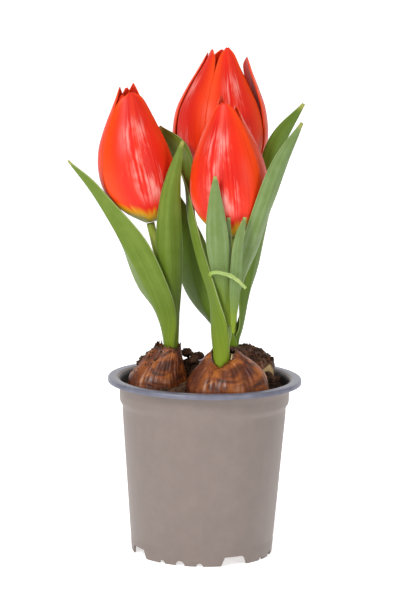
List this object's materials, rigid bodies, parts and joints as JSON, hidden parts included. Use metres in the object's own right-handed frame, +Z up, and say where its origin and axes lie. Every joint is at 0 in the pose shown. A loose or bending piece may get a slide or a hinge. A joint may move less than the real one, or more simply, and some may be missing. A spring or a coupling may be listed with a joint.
{
  "type": "potted tulip",
  "caption": "Potted tulips with closed red blooms, glaucous leaves and exposed brown bulbs in a taupe plastic nursery pot.",
  "frame": {"origin": "centre of the pot's base, on the face that it rests on", "axes": "+Z up along the pot's axis, -Y towards the front of the plant as seen in the picture, +X to its right"},
  "size_m": [0.1095, 0.09, 0.234],
  "materials": {
    "pot": "satin taupe outside, grey rim",
    "soil": "dark peat potting soil, rough; wood's density stands in for moist peat",
    "bulb": "cream flesh",
    "tunic": "papery chestnut skin",
    "stem": "smooth green",
    "leaf": "glaucous satin green",
    "petal": "silky red with yellow base"
  },
  "bodies": {
    "root": {"pot": "pot", "soil": "soil", "bulb_left": "bulb", "bulb_front": "bulb", "bulb_back": "bulb", "tunic_left": "tunic", "tunic_front": "tunic", "tunic_back": "tunic", "stem_left": "stem", "stem_front": "stem", "stem_back": "stem", "leaf_left_outer": "leaf", "leaf_left_inner": "leaf", "leaf_front_long_left": "leaf", "leaf_front_long_right": "leaf", "leaf_front_centre": "leaf", "leaf_front_small": "leaf", "leaf_front_slim": "leaf", "leaf_front_curled": "leaf", "leaf_back_left": "leaf", "leaf_back_right": "leaf", "petal_left_1": "petal", "petal_left_2": "petal", "petal_left_3": "petal", "petal_left_4": "petal", "petal_left_5": "petal", "petal_left_6": "petal", "petal_front_1": "petal", "petal_front_2": "petal", "petal_front_3": "petal", "petal_front_4": "petal", "petal_front_5": "petal", "petal_front_6": "petal", "petal_back_1": "petal", "petal_back_2": "petal", "petal_back_3": "petal", "petal_back_4": "petal", "petal_back_5": "petal", "petal_back_6": "petal"}
  },
  "joints": []
}
